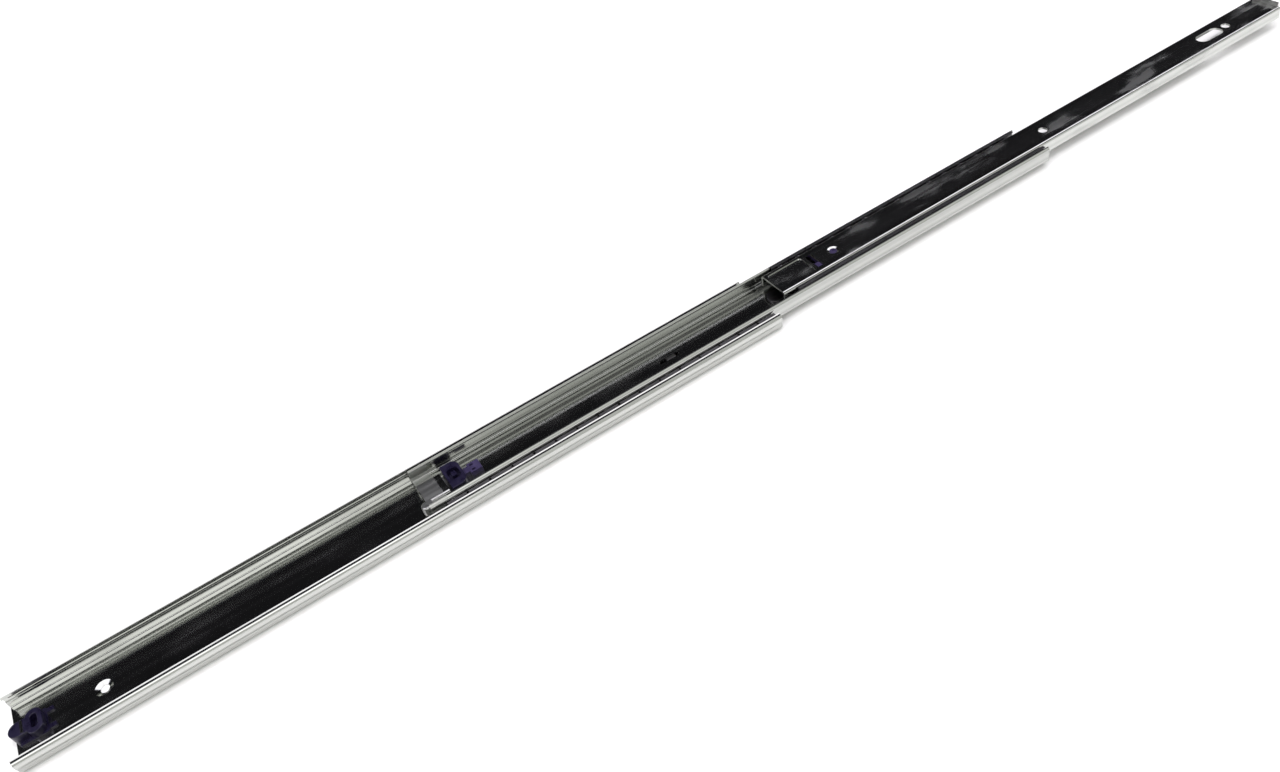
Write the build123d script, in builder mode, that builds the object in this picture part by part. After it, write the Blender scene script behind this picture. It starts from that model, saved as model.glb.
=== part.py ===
from build123d import *
from math import cos, radians, sin
import os

# Full-extension ball-bearing drawer slide, shown fully pulled out.
#
# Frame: millimetres. X runs along the slide towards the front, Y across it, +Z out of the cabinet
# side. The origin is on the back face of the outer (cabinet) member, on its centre line, at its
# front end.

os.makedirs("parts", exist_ok=True)

# ---------------------------------------------------------------- driving dimensions
# Overall sizes of the three steel members.
rail_width = 45.5
outer_length = 450.0
intermediate_length = 448.0
inner_length = 440.0
outer_height = 10.6

# How far each member is pulled out of the one that carries it.
intermediate_travel = 221.0
inner_travel = 230.0

# Sheet thicknesses.
outer_gauge = 1.3
intermediate_gauge = 1.2
inner_gauge = 1.2
cage_gauge = 0.6

# Balls and the play left around them.
outer_ball_d = 4.76
inner_ball_d = 3.97
ball_play = 0.12
outer_ball_pitch = 13.7
inner_ball_pitch = 13.3
outer_ball_count = 16
inner_ball_count = 15
ball_row_step = 3.7
pocket_play = 0.15

# Bends of the sections.
outer_corner_r = 1.8
outer_waist_r = 2.0
outer_wall_inset = 0.75
outer_lip_angle = 75.0
intermediate_corner_r = 2.2
intermediate_leg_angle = 65.0
intermediate_upper_angle = 84.0
intermediate_lip_angle = 60.0
inner_corner_r = 2.0
inner_leg_angle = 82.0
inner_crown = 3.3
inner_skirt = 4.4

# Gaps between the webs, from the cabinet side out.
web_gap = 1.2
cage_web_gap = 0.3

# Ball cages.
outer_cage_length = 216.4
inner_cage_length = 198.9
cage_stop_length = 1.6
cage_stop_width = 7.4
cage_stop_gap = 0.4
outer_tongue_length = 7.0
inner_tongue_length = 13.5
cage_tongue_width = 11.0
cage_window_length = 40.0
cage_window_count = 4
cage_window_margin = 6.0
outer_cage_rim = 2.0
inner_cage_rim = 1.9
cage_rim_gap = 0.27
outer_rim_hole_d = 1.6
outer_rim_hole_y = 18.15
inner_rim_hole_d = 1.1

# Screw holes of the outer member, as distances from its rear or front end.
screw_hole_d = 4.6
screw_sink_d = 9.4
screw_sink_angle = 130.0
screw_hole_rear = 44.0
screw_hole_front = 37.0
screw_hole_middle = 197.0

# Screw holes of the inner member, as distances from its rear end.
drawer_hole_d = 6.0
drawer_hole_first = 221.5
drawer_hole_spacing = 176.0
drawer_slot_x = 381.0
drawer_slot_length = 22.0
drawer_slot_width = 9.6

# Front lip, stamped panel and window of the inner member.
front_lip_height = 2.6
panel_length = 25.0
panel_width = 17.0
panel_depth = 0.5
panel_corner_r = 2.1
panel_start = 2.0
window_start = 29.2
window_length = 4.3
window_width = 13.0
boss_hole_d = 4.8
boss_hole_x = 46.0
boss_sink_d = 7.2

# Bridge, stop nose and access slot of the intermediate member.
bridge_length = 14.0
bridge_width = 18.4
bridge_height = 8.0
bridge_corner_r = 2.4
bridge_window = 2.2
stop_nose_r = 3.0
stop_nose_y = 9.0
stop_nose_reach = 0.8
stop_nose_round = 1.2
access_slot_x = 161.0
access_slot_length = 14.0
access_slot_width = 2.6

# Plastic pieces: the fit round their fixings, and the rounding of their edges.
plastic_fit = 0.1
edge_round = 0.4

# Rear bumper of the outer member.
bumper_base_height = 0.9
bumper_base_start = 2.2
bumper_base_length = 14.0
bumper_base_width = 15.0
bumper_corner_r = 0.4
bumper_height = 5.0
bumper_clearance = 0.5
bumper_nose_r = 4.5
bumper_nose_reach = 1.0
bumper_bar_x = 5.6
bumper_bar_width = 7.4
bumper_bar_height = 5.3
bumper_ring_start = 7.6
bumper_ring_length = 8.0
bumper_slot_length = 8.2
bumper_slot_width = 3.2
bumper_arm_length = 3.6
bumper_arm_width = 2.6
bumper_arm_y = 5.2

# Rear stopper and detent tail of the intermediate member.
stopper_start = 15.6
stopper_length = 10.0
stopper_width = 19.4
stopper_height = 5.9
stopper_nose_r = 4.6
stopper_groove_length = 6.8
stopper_groove_width = 8.4
stopper_groove_r = 2.0
stopper_button_length = 2.6
stopper_button_width = 3.8
stopper_button_r = 0.6
stopper_groove_depth = 3.2
peg_d = 2.4
peg_x = 4.2
peg_spacing = 12.0
tail_length = 10.2
tail_neck_length = 3.2
tail_neck_width = 4.4
tail_width = 7.4
tail_height = 3.2
tail_slot_x = 5.6
tail_slot_spacing = 3.8
tail_slot_length = 2.4
tail_slot_width = 1.2

# Catch under the inner member.
catch_length = 22.0
catch_width = 16.0
catch_thickness = 2.4
catch_body_gap = 0.5
catch_arm_gap = 0.2
catch_arm_width = 4.2
catch_arm_end = 17.8
catch_hook_length = 3.0
catch_hook_depth = 4.3
catch_tooth_height = 0.9
catch_tooth_length = 3.0

# ---------------------------------------------------------------- worked-out places
rail_half = rail_width / 2
outer_ball_r = outer_ball_d / 2
inner_ball_r = inner_ball_d / 2
outer_race_r = outer_ball_r + ball_play
inner_race_r = inner_ball_r + ball_play

# Centres of the two ball rows on the +Y side, as (Y, Z).
outer_row_y = rail_half - outer_gauge - outer_race_r
outer_row_z = outer_height - outer_gauge - outer_race_r
inner_row_z = outer_row_z + ball_row_step

# Intermediate section: a groove corner faces the outer balls, and the leg above it turns
# round the inner balls.
leg = radians(intermediate_leg_angle)
leg_tilt = 90 - intermediate_leg_angle
upper_tilt = 90 - intermediate_upper_angle
groove_corner_y = outer_row_y - outer_race_r / sin(leg)
inner_row_reach = intermediate_gauge + inner_race_r
row_gap = outer_race_r + inner_row_reach - ball_row_step * sin(radians(upper_tilt))
inner_row_y = outer_row_y - row_gap / cos(radians(upper_tilt))
intermediate_bottom = outer_gauge + web_gap
intermediate_floor = intermediate_bottom + intermediate_gauge
corner_z = intermediate_bottom + intermediate_corner_r
corner_y = groove_corner_y - (intermediate_corner_r + (corner_z - outer_row_z) * cos(leg)) / sin(leg)

# Inner section.
inner_tilt = 90 - inner_leg_angle
inner_top = inner_row_z + inner_crown
inner_ceiling = inner_top - inner_gauge
crown_z = inner_top - inner_corner_r
crown_drop = (crown_z - inner_row_z) * sin(radians(inner_tilt))
crown_y = inner_row_y + (crown_drop - inner_race_r - inner_corner_r) / cos(radians(inner_tilt))
inner_foot = inner_row_z - inner_skirt

# Outer section: the wall, the waist and the raceway meet as tangent arcs.
wall_y = rail_half - outer_wall_inset
waist_y = wall_y + outer_waist_r
outer_back_r = outer_race_r + outer_gauge
waist_reach = outer_back_r + outer_waist_r
waist_drop = (waist_reach ** 2 - (waist_y - outer_row_y) ** 2) ** 0.5
waist_vector = Vector(outer_row_y - waist_y, waist_drop)
waist_angle = Vector(-1, 0).get_angle(waist_vector)

# Where each pulled-out piece starts along X.
outer_start = -outer_length
intermediate_start = intermediate_travel - intermediate_length
intermediate_front = intermediate_start + intermediate_length
inner_start = intermediate_travel + inner_travel - inner_length
inner_front = inner_start + inner_length
outer_cage_front = -cage_stop_length - cage_stop_gap
outer_cage_start = outer_cage_front - outer_cage_length
inner_cage_front = intermediate_front - cage_stop_length - cage_stop_gap
inner_cage_start = inner_cage_front - inner_cage_length

# Levels of the cages.
outer_cage_z = outer_gauge + cage_web_gap
inner_cage_z = intermediate_floor + cage_web_gap
outer_rim_z = outer_row_z + outer_ball_r + cage_rim_gap
inner_rim_z = inner_row_z + inner_ball_r + 2 * cage_rim_gap


def ball_positions(cage_start, cage_length, pitch, count):
    """X of each ball's centre, spread evenly about the middle of a cage."""
    first = cage_start + (cage_length - pitch * (count - 1)) / 2
    return [first + pitch * number for number in range(count)]


outer_ball_xs = ball_positions(outer_cage_start, outer_cage_length, outer_ball_pitch, outer_ball_count)
inner_ball_xs = ball_positions(inner_cage_start, inner_cage_length, inner_ball_pitch, inner_ball_count)

# ---------------------------------------------------------------- outer member
screw_hole_xs = [outer_start + screw_hole_rear, -screw_hole_middle, -screw_hole_front]
bar_x = outer_start + bumper_bar_x

with BuildPart() as outer_member:
    with BuildSketch(Plane.YZ.offset(outer_start)):
        with BuildLine():
            base = Line((0, 0), (wall_y - outer_corner_r, 0))
            corner = CenterArc((wall_y - outer_corner_r, outer_corner_r), outer_corner_r, -90, 90)
            waist = CenterArc((waist_y, outer_row_z - waist_drop), outer_waist_r, 180, -waist_angle)
            wall = Line(corner @ 1, waist @ 0)
            race_sweep = waist_angle + outer_lip_angle
            race = CenterArc((outer_row_y, outer_row_z), outer_back_r, -waist_angle, race_sweep)
            offset(amount=outer_gauge, side=Side.LEFT)
        make_face()
        mirror(about=Plane.YZ)
    extrude(amount=outer_length)
    with Locations(*[(x, 0, outer_gauge) for x in screw_hole_xs]):
        CounterSinkHole(screw_hole_d / 2, screw_sink_d / 2, outer_gauge * 2, screw_sink_angle)
    # Bar that holds the rear bumper.
    with BuildSketch(Plane.XY.offset(outer_gauge)):
        with Locations((bar_x, 0)):
            Rectangle(outer_gauge, bumper_bar_width)
    extrude(amount=bumper_bar_height)
    # Front lug that stops the outer cage.
    with BuildSketch(Plane.XY.offset(outer_gauge)):
        Rectangle(cage_stop_length, cage_stop_width, align=(Align.MAX, Align.CENTER))
    extrude(amount=cage_web_gap + cage_gauge)
outer_member.part.label = "outer_member"
export_step(outer_member.part, "parts/outer_member.step")

# ---------------------------------------------------------------- intermediate member
with BuildPart() as intermediate_member:
    with BuildSketch(Plane.YZ.offset(intermediate_start)):
        with BuildLine():
            base = Line((0, intermediate_bottom), (corner_y, intermediate_bottom))
            corner = CenterArc((corner_y, corner_z), intermediate_corner_r, -90, 90 + leg_tilt)
            groove_start = 180 + leg_tilt
            groove_sweep = -leg_tilt - upper_tilt
            groove = CenterArc((outer_row_y, outer_row_z), outer_race_r, groove_start, groove_sweep)
            lip_sweep = upper_tilt + intermediate_lip_angle
            lip = CenterArc((inner_row_y, inner_row_z), inner_row_reach, -upper_tilt, lip_sweep)
            lower_leg = Line(corner @ 1, groove @ 0)
            upper_leg = Line(groove @ 1, lip @ 0)
            offset(amount=intermediate_gauge, side=Side.LEFT)
        make_face()
        mirror(about=Plane.YZ)
    extrude(amount=intermediate_length)
    # Opening under the bridge, which runs on to the stopper.
    with BuildSketch(Plane.XY.offset(intermediate_bottom)):
        with Locations((intermediate_start, 0)):
            Rectangle(
                bridge_length + bridge_window,
                bridge_width - 2 * intermediate_gauge,
                align=(Align.MIN, Align.CENTER),
            )
    extrude(amount=intermediate_gauge, mode=Mode.SUBTRACT)
    # Raised bridge at the rear end.
    with BuildSketch(Plane.YZ.offset(intermediate_start)):
        with BuildLine():
            top_end = bridge_width / 2 - bridge_corner_r
            top = Line((0, bridge_height), (top_end, bridge_height))
            corner = CenterArc((top_end, bridge_height - bridge_corner_r), bridge_corner_r, 90, -90)
            side = Line(corner @ 1, (bridge_width / 2, intermediate_bottom))
            offset(amount=intermediate_gauge, side=Side.RIGHT)
        make_face()
        mirror(about=Plane.YZ)
    extrude(amount=bridge_length)
    # Rounded stop nose beside the bridge.
    with BuildSketch(Plane.XY.offset(intermediate_bottom)):
        with Locations((intermediate_start - stop_nose_reach, -stop_nose_y)):
            Circle(stop_nose_r)
        with Locations((intermediate_start - stop_nose_reach, -stop_nose_y)):
            Rectangle(stop_nose_r + stop_nose_reach, 2 * stop_nose_r, align=(Align.MIN, Align.CENTER))
        with Locations((intermediate_start - stop_nose_r * 2, -stop_nose_y + stop_nose_r)):
            Rectangle(
                stop_nose_r * 4,
                stop_nose_r * 2,
                align=(Align.MIN, Align.MIN),
                mode=Mode.SUBTRACT,
            )
    stop_nose = extrude(amount=bridge_height - intermediate_bottom)
    fillet(stop_nose.faces().sort_by(Axis.Z)[-1].edges().group_by(Axis.X)[0], stop_nose_round)
    with BuildSketch(Plane.XY.offset(intermediate_bottom)):
        with Locations((intermediate_start + access_slot_x, 0)):
            SlotOverall(access_slot_length, access_slot_width)
        with Locations((intermediate_start + stopper_start + peg_x, 0)):
            with GridLocations(0, peg_spacing, 1, 2):
                Circle(peg_d / 2 + plastic_fit)
    extrude(amount=intermediate_gauge, mode=Mode.SUBTRACT)
    # Front lug that stops the inner cage.
    with BuildSketch(Plane.XY.offset(intermediate_floor)):
        with Locations((intermediate_front, 0)):
            Rectangle(cage_stop_length, cage_stop_width, align=(Align.MAX, Align.CENTER))
    extrude(amount=cage_web_gap + cage_gauge)
intermediate_member.part.label = "intermediate_member"
export_step(intermediate_member.part, "parts/intermediate_member.step")

# ---------------------------------------------------------------- inner member
drawer_hole_xs = [inner_start + drawer_hole_first + drawer_hole_spacing * n for n in range(2)]

with BuildPart() as inner_member:
    with BuildSketch(Plane.YZ.offset(inner_start)):
        with BuildLine():
            top = Line((0, inner_top), (crown_y, inner_top))
            crown = CenterArc((crown_y, crown_z), inner_corner_r, 90, -90 - inner_tilt)
            groove_start = 180 - inner_tilt
            groove = CenterArc((inner_row_y, inner_row_z), inner_race_r, groove_start, 2 * inner_tilt)
            upper_leg = Line(crown @ 1, groove @ 0)
            foot_drop = (groove @ 1).Y - inner_foot
            foot_out = foot_drop / sin(radians(inner_leg_angle)) * cos(radians(inner_leg_angle))
            lower_leg = Line(groove @ 1, groove @ 1 + Vector(foot_out, -foot_drop))
            offset(amount=inner_gauge, side=Side.RIGHT)
        make_face()
        mirror(about=Plane.YZ)
    extrude(amount=inner_length)
    # Turned-up front lip.
    with BuildSketch(Plane.XY.offset(inner_ceiling)):
        with Locations((inner_front, 0)):
            Rectangle(inner_gauge, 2 * crown_y, align=(Align.MAX, Align.CENTER))
    extrude(amount=front_lip_height + inner_gauge)
    # Stamped panel: sunk on top, and proud below by the same amount.
    with BuildSketch(Plane.XY.offset(inner_top - panel_depth)):
        with Locations((inner_start + panel_start + panel_length / 2, 0)):
            RectangleRounded(panel_length, panel_width, panel_corner_r)
    extrude(amount=panel_depth, mode=Mode.SUBTRACT)
    with BuildSketch(Plane.XY.offset(inner_ceiling - panel_depth)):
        with Locations((inner_start + panel_start + panel_length / 2, 0)):
            RectangleRounded(panel_length, panel_width, panel_corner_r)
    extrude(amount=panel_depth)
    # Window, screw slot and holes through the web.
    with BuildSketch(Plane.XY.offset(inner_ceiling)):
        with Locations((inner_start + window_start + window_length / 2, 0)):
            Rectangle(window_length, window_width)
        with Locations((inner_start + drawer_slot_x, 0)):
            SlotOverall(drawer_slot_length, drawer_slot_width)
        with Locations(*[(x, 0) for x in drawer_hole_xs]):
            Circle(drawer_hole_d / 2)
    extrude(amount=inner_gauge, mode=Mode.SUBTRACT)
    with Locations((inner_start + boss_hole_x, 0, inner_top)):
        CounterSinkHole(boss_hole_d / 2, boss_sink_d / 2, inner_gauge * 2, screw_sink_angle)
inner_member.part.label = "inner_member"
export_step(inner_member.part, "parts/inner_member.step")


# ---------------------------------------------------------------- ball cages
def cut_sides(xs, row_z, radius, half_width):
    """Cylinders across the cage at each ball, to be cut from both its flanges."""
    return [
        Pos(x, 0, row_z) * Rot(90, 0, 0) * Cylinder(radius, 2 * half_width + cage_gauge, mode=Mode.PRIVATE)
        for x in xs
    ]


with BuildPart() as outer_cage:
    with BuildSketch(Plane.YZ.offset(outer_cage_start)):
        with Locations((0, outer_cage_z)):
            Rectangle(2 * outer_row_y + cage_gauge, cage_gauge, align=(Align.CENTER, Align.MIN))
        with Locations((-outer_row_y, outer_cage_z), (outer_row_y, outer_cage_z)):
            Rectangle(cage_gauge, outer_rim_z - outer_cage_z, align=(Align.CENTER, Align.MIN))
        rim_y = outer_row_y + cage_gauge / 2 - outer_cage_rim / 2
        with Locations((-rim_y, outer_rim_z), (rim_y, outer_rim_z)):
            Rectangle(outer_cage_rim, cage_gauge, align=(Align.CENTER, Align.MIN))
    extrude(amount=outer_cage_length)
    with BuildSketch(Plane.XY.offset(outer_cage_z)):
        with Locations((outer_cage_start, 0)):
            SlotOverall(2 * outer_tongue_length, cage_tongue_width)
    extrude(amount=cage_gauge)
    with BuildSketch(Plane.XY.offset(outer_cage_z)):
        with Locations((outer_cage_start + outer_cage_length / 2, 0)):
            with GridLocations(cage_window_length + cage_window_margin, 0, cage_window_count, 1):
                SlotOverall(cage_window_length, 2 * outer_row_y - 3 * cage_window_margin)
    extrude(amount=cage_gauge, mode=Mode.SUBTRACT)
    with BuildSketch(Plane.XY.offset(outer_row_z)):
        with Locations((outer_cage_start + outer_cage_length / 2, 0)):
            with GridLocations(outer_ball_pitch, 2 * outer_rim_hole_y, outer_ball_count - 1, 2):
                Circle(outer_rim_hole_d / 2)
    extrude(amount=outer_rim_z + cage_gauge - outer_row_z, mode=Mode.SUBTRACT)
    add(cut_sides(outer_ball_xs, outer_row_z, outer_ball_r + pocket_play, outer_row_y), mode=Mode.SUBTRACT)
outer_cage.part.label = "outer_ball_cage"
export_step(outer_cage.part, "parts/outer_ball_cage.step")

with BuildPart() as inner_cage:
    with BuildSketch(Plane.YZ.offset(inner_cage_start)):
        with Locations((0, inner_cage_z)):
            Rectangle(2 * inner_row_y + cage_gauge, cage_gauge, align=(Align.CENTER, Align.MIN))
        with Locations((-inner_row_y, inner_cage_z), (inner_row_y, inner_cage_z)):
            Rectangle(cage_gauge, inner_rim_z - inner_cage_z, align=(Align.CENTER, Align.MIN))
        with Locations((-inner_row_y, inner_rim_z), (inner_row_y, inner_rim_z)):
            Rectangle(inner_cage_rim, cage_gauge, align=(Align.CENTER, Align.MIN))
    extrude(amount=inner_cage_length)
    with BuildSketch(Plane.XY.offset(inner_cage_z)):
        with Locations((inner_cage_start, 0)):
            SlotOverall(2 * inner_tongue_length, cage_tongue_width)
    extrude(amount=cage_gauge)
    with BuildSketch(Plane.XY.offset(inner_cage_z)):
        with Locations((inner_cage_start + inner_cage_length / 2, 0)):
            with GridLocations(cage_window_length + cage_window_margin, 0, cage_window_count, 1):
                SlotOverall(cage_window_length, 2 * inner_row_y - 2 * cage_window_margin)
    extrude(amount=cage_gauge, mode=Mode.SUBTRACT)
    with BuildSketch(Plane.XY.offset(inner_row_z)):
        with Locations((inner_cage_start + inner_cage_length / 2, 0)):
            with GridLocations(inner_ball_pitch, 2 * inner_row_y, inner_ball_count - 1, 2):
                Circle(inner_rim_hole_d / 2)
    extrude(amount=inner_rim_z + cage_gauge - inner_row_z, mode=Mode.SUBTRACT)
    add(cut_sides(inner_ball_xs, inner_row_z, inner_ball_r + pocket_play, inner_row_y), mode=Mode.SUBTRACT)
inner_cage.part.label = "inner_ball_cage"
export_step(inner_cage.part, "parts/inner_ball_cage.step")

# ---------------------------------------------------------------- ball rows
ball_rows = {
    "outer_balls_near": (outer_ball_xs, -outer_row_y, outer_row_z, outer_ball_r),
    "outer_balls_far": (outer_ball_xs, outer_row_y, outer_row_z, outer_ball_r),
    "inner_balls_near": (inner_ball_xs, -inner_row_y, inner_row_z, inner_ball_r),
    "inner_balls_far": (inner_ball_xs, inner_row_y, inner_row_z, inner_ball_r),
}
for row_name, (xs, row_y, row_z, ball_r) in ball_rows.items():
    with BuildPart() as ball_row:
        with Locations(*[(x, row_y, row_z) for x in xs]):
            Sphere(ball_r)
    ball_row.part.label = row_name
    export_step(ball_row.part, f"parts/{row_name}.step")

# ---------------------------------------------------------------- rear bumper
ring_half = bridge_width / 2 - intermediate_gauge - bumper_clearance
base_x = outer_start + bumper_base_start
ring_middle = outer_start + bumper_ring_start + bumper_ring_length / 2

with BuildPart() as rear_bumper:
    with BuildSketch(Plane.XY.offset(outer_gauge)):
        with Locations((base_x, 0)):
            Rectangle(bumper_base_length, bumper_base_width, align=(Align.MIN, Align.CENTER))
        with Locations((base_x + bumper_base_length, 0)):
            with GridLocations(0, 2 * bumper_arm_y, 1, 2):
                Rectangle(2 * bumper_arm_length, bumper_arm_width)
    extrude(amount=bumper_base_height)
    fillet(rear_bumper.edges().filter_by(Axis.Z), bumper_corner_r)
    # Nose that the moving members strike, and the loop behind it that gives way.
    with BuildSketch(Plane.XY.offset(outer_gauge)):
        with Locations((outer_start + bumper_nose_r - bumper_nose_reach, 0)):
            Circle(bumper_nose_r)
            Rectangle(bumper_ring_start, 2 * bumper_nose_r, align=(Align.MIN, Align.CENTER))
        with Locations((ring_middle, 0)):
            SlotOverall(2 * ring_half, bumper_ring_length, rotation=90)
        with Locations((ring_middle, 0)):
            SlotOverall(bumper_slot_length, bumper_slot_width, rotation=90, mode=Mode.SUBTRACT)
    extrude(amount=bumper_height)
    rim_edges = rear_bumper.faces().sort_by(Axis.Z)[-1].edges()
    fillet(rim_edges, edge_round)
    with BuildSketch(Plane.XY.offset(outer_gauge)):
        with Locations((bar_x, 0)):
            Rectangle(outer_gauge + 2 * plastic_fit, bumper_bar_width + 2 * plastic_fit)
    extrude(amount=bumper_height, mode=Mode.SUBTRACT)
rear_bumper.part.label = "rear_bumper"
export_step(rear_bumper.part, "parts/rear_bumper.step")

# ---------------------------------------------------------------- rear stopper and its tail
stopper_x = intermediate_start + stopper_start
stopper_front = stopper_x + stopper_length

with BuildPart() as rear_stopper:
    with BuildSketch(Plane.XY.offset(intermediate_floor)) as stopper_outline:
        with Locations((stopper_x, 0)):
            Rectangle(stopper_length, stopper_width, align=(Align.MIN, Align.CENTER))
        front_corners = stopper_outline.vertices().group_by(Axis.X)[-1]
        fillet(front_corners, stopper_nose_r)
    extrude(amount=stopper_height)
    fillet(rear_stopper.faces().sort_by(Axis.Z)[-1].edges(), edge_round)
    # Deep ring-shaped groove round a button in the top.
    with BuildSketch(Plane.XY.offset(intermediate_floor + stopper_height - stopper_groove_depth)):
        with Locations((stopper_x + stopper_length / 2, 0)):
            RectangleRounded(stopper_groove_length, stopper_groove_width, stopper_groove_r)
            RectangleRounded(
                stopper_button_length,
                stopper_button_width,
                stopper_button_r,
                mode=Mode.SUBTRACT,
            )
    extrude(amount=stopper_groove_depth, mode=Mode.SUBTRACT)
    with BuildSketch(Plane.XY.offset(intermediate_bottom)):
        with Locations((stopper_x + peg_x, 0)):
            with GridLocations(0, peg_spacing, 1, 2):
                Circle(peg_d / 2)
    extrude(amount=intermediate_gauge)
rear_stopper.part.label = "rear_stopper"
export_step(rear_stopper.part, "parts/rear_stopper.step")

with BuildPart() as detent_tail:
    with BuildSketch(Plane.XY.offset(intermediate_floor)):
        with Locations((stopper_front, 0)):
            Rectangle(tail_neck_length, tail_neck_width, align=(Align.MIN, Align.CENTER))
        with Locations((stopper_front + tail_neck_length, 0)):
            Rectangle(tail_length - tail_neck_length, tail_width, align=(Align.MIN, Align.CENTER))
        with Locations((stopper_front + tail_slot_x, 0)):
            with GridLocations(0, tail_slot_spacing, 1, 2):
                SlotOverall(tail_slot_length, tail_slot_width, mode=Mode.SUBTRACT)
    extrude(amount=tail_height)
    fillet(detent_tail.faces().sort_by(Axis.Z)[-1].edges().group_by(Axis.X)[-1], edge_round)
detent_tail.part.label = "detent_tail"
export_step(detent_tail.part, "parts/detent_tail.step")

# ---------------------------------------------------------------- catch under the inner member
catch_x = inner_start + window_start + window_length + catch_body_gap
catch_z = inner_ceiling - catch_thickness
arm_start = inner_start + catch_arm_end
arm_y = window_width / 2 - catch_arm_width / 2 - catch_arm_gap

with BuildPart() as inner_catch:
    with BuildSketch(Plane.XY.offset(catch_z)):
        with Locations((catch_x, 0)):
            Rectangle(catch_length, catch_width, align=(Align.MIN, Align.CENTER))
        with Locations((arm_start, -arm_y)):
            Rectangle(catch_x - arm_start, catch_arm_width, align=(Align.MIN, Align.CENTER))
    extrude(amount=catch_thickness - panel_depth)
    with BuildSketch(Plane.XY.offset(catch_z)):
        with Locations((catch_x, 0)):
            Rectangle(catch_length, catch_width, align=(Align.MIN, Align.CENTER))
    extrude(amount=catch_thickness)
    # Hook that comes up against the front of the stopper as the slide closes.
    with BuildSketch(Plane.XY.offset(inner_ceiling - panel_depth - catch_hook_depth)):
        with Locations((arm_start, -arm_y)):
            Rectangle(catch_hook_length, catch_arm_width, align=(Align.MIN, Align.CENTER))
    extrude(amount=catch_hook_depth)
    # Tooth in the window and boss in the countersunk hole.
    with BuildSketch(Plane.XY.offset(catch_z)):
        with Locations((inner_start + window_start + window_length / 2, -arm_y)):
            Rectangle(catch_tooth_length, catch_arm_width)
    extrude(amount=catch_thickness + catch_tooth_height)
    with BuildSketch(Plane.XY.offset(inner_ceiling)):
        with Locations((inner_start + boss_hole_x, 0)):
            Circle(boss_hole_d / 2 - plastic_fit)
            Circle(boss_hole_d / 4, mode=Mode.SUBTRACT)
    extrude(amount=inner_gauge / 2)
inner_catch.part.label = "inner_catch"
export_step(inner_catch.part, "parts/inner_catch.step")
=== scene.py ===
import bpy
import math
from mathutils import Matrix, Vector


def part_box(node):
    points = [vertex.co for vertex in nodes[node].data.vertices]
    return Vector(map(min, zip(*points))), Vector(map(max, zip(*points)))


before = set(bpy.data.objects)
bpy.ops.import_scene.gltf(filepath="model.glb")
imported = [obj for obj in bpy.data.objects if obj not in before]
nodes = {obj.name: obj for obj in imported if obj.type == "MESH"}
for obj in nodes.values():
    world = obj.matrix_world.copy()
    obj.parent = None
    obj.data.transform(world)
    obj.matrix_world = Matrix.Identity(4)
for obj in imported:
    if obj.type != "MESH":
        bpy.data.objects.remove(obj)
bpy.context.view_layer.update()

# ---------------------------------------------------------------- camera
CAMERA_PLACE = (-0.25263, -0.40816, 0.40734)
CAMERA_TURN_DEG = (45.1284, 10.4735, -32.3338)
CAMERA_LENS = 29.089
CAMERA_SHIFT = (-0.00426, 0.01114)

# ---------------------------------------------------------------- stage
FLOOR_SIZE = 40.0
FLOOR_GAP = 0.0002
FLOOR_COLOR = (0.88, 0.88, 0.87)
FIBRE_CELLS = (900, 900, 900)

# Soft overhead light, which reaches the floor and the plastics but makes no reflection of its own.
FILL_HEIGHT = 3.0
FILL_SIZE = 6.0
FILL_POWER = 130.0

# Studio surround, as bands that run along the slide. Each is the angle where it starts, going up
# from the horizon behind the slide, over the top and down to the horizon in front, and its light.
SURROUND_STRENGTH = 2.0
SURROUND_BANDS = (
    (0, (0.12, 0.12, 0.12)),
    (8, (0.12, 0.12, 0.12)),
    (16, (0.004, 0.004, 0.004)),
    (60, (0.006, 0.006, 0.007)),
    (67, (0.92, 0.90, 1.00)),
    (95, (1.00, 0.97, 1.00)),
    (99, (0.02, 0.02, 0.03)),
    (123, (0.02, 0.02, 0.02)),
    (130, (0.40, 0.40, 0.39)),
    (180, (0.36, 0.365, 0.35)),
)
# A brighter box in front, beside the rear half of the slide, and a low one behind it.
BOX_BANDS = (
    (0, (0.45, 0.45, 0.45)),
    (8, (0.45, 0.45, 0.45)),
    (14, (0.0, 0.0, 0.0)),
    (128, (0.0, 0.0, 0.0)),
    (134, (0.80, 0.78, 0.80)),
    (146, (0.80, 0.78, 0.80)),
    (154, (0.0, 0.0, 0.0)),
    (180, (0.0, 0.0, 0.0)),
)
BOX_SIDE = (-0.05, 0.18)

# ---------------------------------------------------------------- steel finishes
# Base colour, roughness, anisotropy, and how strongly the grain, smudges and scratches show.
ZINC_TINT = (0.59, 0.60, 0.575)
OUTER_FINISH = dict(
    color=ZINC_TINT, roughness=0.12, stretch=0.2, grain=0.5, smudges=0.4, scratches=0.4
)
MIDDLE_FINISH = dict(
    color=ZINC_TINT, roughness=0.12, stretch=0.2, grain=0.6, smudges=0.4, scratches=0.5
)
INNER_FINISH = dict(
    color=ZINC_TINT, roughness=0.13, stretch=0.2, grain=0.4, smudges=1.3, scratches=0.8
)
CAGE_FINISH = dict(
    color=(0.22, 0.215, 0.225), roughness=0.30, stretch=0.3, grain=0.6, smudges=0.8, scratches=0.3
)
BALL_COLOR = (0.62, 0.62, 0.63)
FILM_CELLS = (520, 520, 520)
FILM_RANGE = (0.35, 0.7)
FILM_RELIEF = 0.000004
# Roughness added where the press tool has marked the steel, how far that reaches, and its edge.
PRESSED_ROUGHNESS = 0.17
PRESSED_LENGTH = 0.015
PRESSED_EDGE = 0.001

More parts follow.
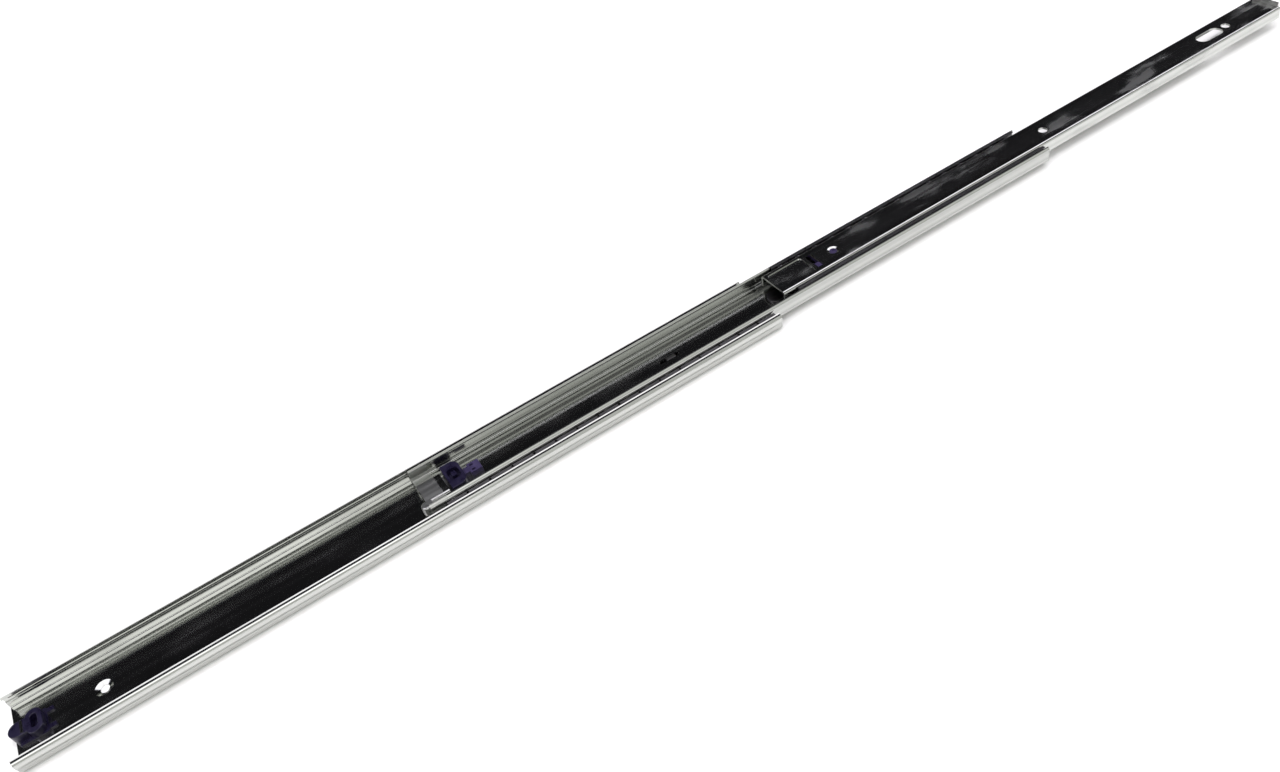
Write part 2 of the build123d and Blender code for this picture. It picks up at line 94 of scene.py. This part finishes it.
# Noise cells a metre along X, Y and Z. Few along X make lines that run with the rail.
GRAIN_CELLS = (4, 480, 480)
BROAD_CELLS = (1.2, 260, 260)
CLOUD_CELLS = (26, 75, 75)
HAIR_CELLS = (9, 520, 520)
NOISE_ROUGHNESS = 0.55
# Range of the noise over which a smudge or a scratch comes in.
SMUDGE_RANGE = (0.48, 0.68)
SCRATCH_RANGE = (0.66, 0.74)
# Roughness that smudges, scratches and sheared ends add.
SMUDGE_ROUGHNESS = 0.13
SCRATCH_ROUGHNESS = 0.06
SHEARED_ROUGHNESS = 0.22
# How square to the rail a face must be to count as a sheared end.
SHEARED_RANGE = (0.8, 0.95)
GRAIN_ROUGHNESS = 0.03
SMUDGE_SHADE = 0.90
SCRATCH_DEPTH = -0.3
STEEL_RELIEF = 0.0000015
QUARTER_TURN = 0.25

# ---------------------------------------------------------------- plastics
NAVY = (0.008, 0.006, 0.022)
VIOLET = (0.034, 0.026, 0.070)
PLASTIC_TEXTURE_CELLS = (3200, 3200, 3200)
PLASTIC_FLOW_CELLS = (260, 150, 300)
PLASTIC_RELIEF = 0.000012
PLASTIC_IOR = 1.48


class Tree:
    """Short ways to add and link shader nodes."""

    def __init__(self, tree):
        self.tree = tree

    def add(self, kind, **settings):
        node = self.tree.nodes.new(kind)
        for name, value in settings.items():
            setattr(node, name, value)
        return node

    def link(self, output, socket):
        self.tree.links.new(output, socket)

    def math(self, operation, first, second):
        node = self.add("ShaderNodeMath", operation=operation)
        for socket, value in zip(node.inputs, (first, second)):
            if isinstance(value, (int, float)):
                socket.default_value = value
            else:
                self.link(value, socket)
        return node.outputs[0]

    def stretched_noise(self, coords, scale, detail=4.0):
        """Noise at so many cells a metre along X, Y and Z."""
        mapping = self.add("ShaderNodeMapping")
        mapping.inputs["Scale"].default_value = scale
        self.link(coords, mapping.inputs["Vector"])
        noise = self.add("ShaderNodeTexNoise")
        noise.inputs["Scale"].default_value = 1.0
        noise.inputs["Detail"].default_value = detail
        noise.inputs["Roughness"].default_value = NOISE_ROUGHNESS
        self.link(mapping.outputs[0], noise.inputs["Vector"])
        return noise.outputs["Fac"]

    def remap(self, value, low, high, to_low, to_high):
        """The value's range low to high, spread smoothly over to_low to to_high."""
        node = self.add("ShaderNodeMapRange", interpolation_type="SMOOTHSTEP")
        for socket, number in zip(node.inputs[1:5], (low, high, to_low, to_high)):
            socket.default_value = number
        self.link(value, node.inputs[0])
        return node.outputs[0]

    def tint(self, color, factor):
        """A fixed colour, scaled by a varying factor."""
        node = self.add("ShaderNodeVectorMath", operation="SCALE")
        node.inputs[0].default_value = color
        self.link(factor, node.inputs["Scale"])
        return node.outputs[0]

    def bands(self, share, stops):
        """A colour for each share of a half turn, blended between stops given in degrees."""
        ramp = self.add("ShaderNodeValToRGB")
        elements = ramp.color_ramp.elements
        for degrees, _ in stops[2:]:
            elements.new(degrees / 180)
        for element, (degrees, color) in zip(elements, stops):
            element.position = degrees / 180
            element.color = (*color, 1)
        self.link(share, ramp.inputs[0])
        return ramp.outputs["Color"]

    def bump(self, height, distance):
        node = self.add("ShaderNodeBump")
        node.inputs["Strength"].default_value = 1.0
        node.inputs["Distance"].default_value = distance
        self.link(height, node.inputs["Height"])
        return node.outputs[0]


def new_material(name):
    material = bpy.data.materials.new(name)
    material.use_nodes = True
    return material, material.node_tree.nodes["Principled BSDF"], Tree(material.node_tree)


def make_steel(name, color, roughness, stretch, grain, smudges, scratches, pressed_end=None):
    """Drawn strip steel: lengthwise grain, cloudy smudges, fine scratches and rough sheared ends.

    Behind pressed_end, along X, the press tool has left the surface matt.
    """
    material, shader, tree = new_material(name)
    coords = tree.add("ShaderNodeTexCoord").outputs["Object"]
    grain_lines = tree.stretched_noise(coords, GRAIN_CELLS, detail=1.0)
    broad_lines = tree.stretched_noise(coords, BROAD_CELLS, detail=1.0)
    clouds = tree.stretched_noise(coords, CLOUD_CELLS, detail=2.0)
    hairs = tree.stretched_noise(coords, HAIR_CELLS, detail=0.0)
    smudge = tree.remap(clouds, *SMUDGE_RANGE, 0.0, smudges)
    scratch = tree.remap(hairs, *SCRATCH_RANGE, 0.0, scratches)

    shade = tree.remap(grain_lines, 0.3, 0.7, 1 - 0.10 * grain, 1 + 0.08 * grain)
    streaks = tree.remap(broad_lines, 0.35, 0.65, 1 - 0.30 * grain, 1.03)
    shade = tree.math("MULTIPLY", shade, streaks)
    shade = tree.math("MULTIPLY", shade, tree.remap(smudge, 0.0, 1.0, 1.0, SMUDGE_SHADE))
    tree.link(tree.tint(color, shade), shader.inputs["Base Color"])

    spread = GRAIN_ROUGHNESS * grain
    rough = tree.remap(broad_lines, 0.3, 0.7, roughness - spread, roughness + spread)
    rough = tree.math("ADD", rough, tree.math("MULTIPLY", smudge, SMUDGE_ROUGHNESS))
    rough = tree.math("ADD", rough, tree.math("MULTIPLY", scratch, SCRATCH_ROUGHNESS))
    normal = tree.add("ShaderNodeNewGeometry").outputs["Normal"]
    split = tree.add("ShaderNodeSeparateXYZ")
    tree.link(normal, split.inputs[0])
    squareness = tree.math("ABSOLUTE", split.outputs["X"], 0)
    sheared = tree.remap(squareness, *SHEARED_RANGE, 0.0, SHEARED_ROUGHNESS)
    rough = tree.math("ADD", rough, sheared)
    if pressed_end is not None:
        place = tree.add("ShaderNodeSeparateXYZ")
        tree.link(coords, place.inputs[0])
        edge = (pressed_end - PRESSED_EDGE, pressed_end)
        pressed = tree.remap(place.outputs["X"], *edge, PRESSED_ROUGHNESS, 0.0)
        rough = tree.math("ADD", rough, pressed)
    tree.link(rough, shader.inputs["Roughness"])

    raised = tree.math("MULTIPLY", grain_lines, grain)
    cut = tree.math("MULTIPLY", scratch, SCRATCH_DEPTH)
    height = tree.math("ADD", raised, cut)
    tree.link(tree.bump(height, STEEL_RELIEF), shader.inputs["Normal"])
    shader.inputs["Metallic"].default_value = 1.0
    shader.inputs["Anisotropic"].default_value = stretch
    shader.inputs["Anisotropic Rotation"].default_value = QUARTER_TURN
    along = tree.add("ShaderNodeCombineXYZ")
    along.inputs[0].default_value = 1.0
    tree.link(along.outputs[0], shader.inputs["Tangent"])
    return material


def make_ball_steel():
    """Polished bearing steel with a thin, uneven film of grease."""
    material, shader, tree = new_material("ball_steel")
    coords = tree.add("ShaderNodeTexCoord").outputs["Object"]
    film = tree.stretched_noise(coords, FILM_CELLS, detail=3.0)
    shade = tree.remap(film, *FILM_RANGE, 1.0, 0.86)
    tree.link(tree.tint(BALL_COLOR, shade), shader.inputs["Base Color"])
    tree.link(tree.remap(film, *FILM_RANGE, 0.05, 0.16), shader.inputs["Roughness"])
    tree.link(tree.bump(film, FILM_RELIEF), shader.inputs["Normal"])
    shader.inputs["Metallic"].default_value = 1.0
    return material


def make_plastic(name, color):
    """Satin moulded plastic: fine texture, faint flow marks and dust that dulls it in patches."""
    material, shader, tree = new_material(name)
    coords = tree.add("ShaderNodeTexCoord").outputs["Object"]
    texture = tree.stretched_noise(coords, PLASTIC_TEXTURE_CELLS, detail=2.0)
    flow = tree.stretched_noise(coords, PLASTIC_FLOW_CELLS)
    shade = tree.remap(flow, 0.3, 0.7, 0.80, 1.25)
    tree.link(tree.tint(color, shade), shader.inputs["Base Color"])
    tree.link(tree.remap(flow, 0.3, 0.75, 0.26, 0.42), shader.inputs["Roughness"])
    tree.link(tree.bump(texture, PLASTIC_RELIEF), shader.inputs["Normal"])
    shader.inputs["IOR"].default_value = PLASTIC_IOR
    return material


def make_camera():
    data = bpy.data.cameras.new("camera")
    data.lens = CAMERA_LENS
    data.shift_x, data.shift_y = CAMERA_SHIFT
    data.clip_start, data.clip_end = 0.01, 100
    camera = bpy.data.objects.new("camera", data)
    camera.location = CAMERA_PLACE
    camera.rotation_euler = [math.radians(angle) for angle in CAMERA_TURN_DEG]
    bpy.context.scene.collection.objects.link(camera)
    bpy.context.scene.camera = camera


def make_floor():
    """Pale paper floor, just under the slide."""
    material, shader, tree = new_material("floor_paper")
    coords = tree.add("ShaderNodeTexCoord").outputs["Object"]
    fibres = tree.stretched_noise(coords, FIBRE_CELLS)
    shade = tree.remap(fibres, 0.3, 0.7, 0.99, 1.0)
    tree.link(tree.tint(FLOOR_COLOR, shade), shader.inputs["Base Color"])
    shader.inputs["Roughness"].default_value = 0.9
    shader.inputs["Specular IOR Level"].default_value = 0.05
    half = FLOOR_SIZE / 2
    mesh = bpy.data.meshes.new("floor")
    corners = [(x * half, y * half, -FLOOR_GAP) for x, y in ((-1, -1), (1, -1), (1, 1), (-1, 1))]
    mesh.from_pydata(corners, [], [(0, 1, 2, 3)])
    mesh.materials.append(material)
    floor = bpy.data.objects.new("floor", mesh)
    bpy.context.scene.collection.objects.link(floor)


def make_fill_light():
    light = bpy.data.lights.new("fill", "AREA")
    light.size = FILL_SIZE
    light.energy = FILL_POWER
    fill = bpy.data.objects.new("fill", light)
    fill.location = (0, 0, FILL_HEIGHT)
    fill.visible_glossy = False
    bpy.context.scene.collection.objects.link(fill)


def make_surround():
    """World light by the angle around the slide's length, so the bands run along the slide."""
    world = bpy.data.worlds.new("studio")
    bpy.context.scene.world = world
    world.use_nodes = True
    world.node_tree.nodes.clear()
    tree = Tree(world.node_tree)
    coords = tree.add("ShaderNodeTexCoord").outputs["Generated"]
    split = tree.add("ShaderNodeSeparateXYZ")
    tree.link(coords, split.inputs[0])
    angle = tree.math("ARCTAN2", split.outputs["Z"], split.outputs["Y"])
    share = tree.math("DIVIDE", angle, math.pi)
    beside = tree.remap(split.outputs["X"], *BOX_SIDE, 1.0, 0.0)
    box = tree.add("ShaderNodeVectorMath", operation="SCALE")
    tree.link(tree.bands(share, BOX_BANDS), box.inputs[0])
    tree.link(beside, box.inputs["Scale"])
    light = tree.add("ShaderNodeVectorMath", operation="ADD")
    tree.link(tree.bands(share, SURROUND_BANDS), light.inputs[0])
    tree.link(box.outputs[0], light.inputs[1])
    back = tree.add("ShaderNodeBackground")
    back.inputs["Strength"].default_value = SURROUND_STRENGTH
    tree.link(light.outputs[0], back.inputs["Color"])
    tree.link(back.outputs[0], tree.add("ShaderNodeOutputWorld").inputs["Surface"])


def paint_nodes():
    """Give every CAD piece its finish."""
    pressed_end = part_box("intermediate_member")[0][0] + PRESSED_LENGTH
    cage = make_steel("cage_steel", **CAGE_FINISH)
    ball = make_ball_steel()
    navy = make_plastic("navy_plastic", NAVY)
    violet = make_plastic("violet_plastic", VIOLET)
    finishes = {
        "outer_member": make_steel("outer_zinc", **OUTER_FINISH),
        "intermediate_member": make_steel("middle_zinc", **MIDDLE_FINISH, pressed_end=pressed_end),
        "inner_member": make_steel("inner_zinc", **INNER_FINISH),
        "outer_ball_cage": cage,
        "inner_ball_cage": cage,
        "outer_balls_near": ball,
        "outer_balls_far": ball,
        "inner_balls_near": ball,
        "inner_balls_far": ball,
        "rear_bumper": navy,
        "rear_stopper": navy,
        "detent_tail": violet,
        "inner_catch": violet,
    }
    for name, material in finishes.items():
        materials = nodes[name].data.materials
        materials.clear()
        materials.append(material)


bpy.context.scene.view_settings.view_transform = "Standard"
paint_nodes()
make_surround()
make_fill_light()
make_floor()
make_camera()
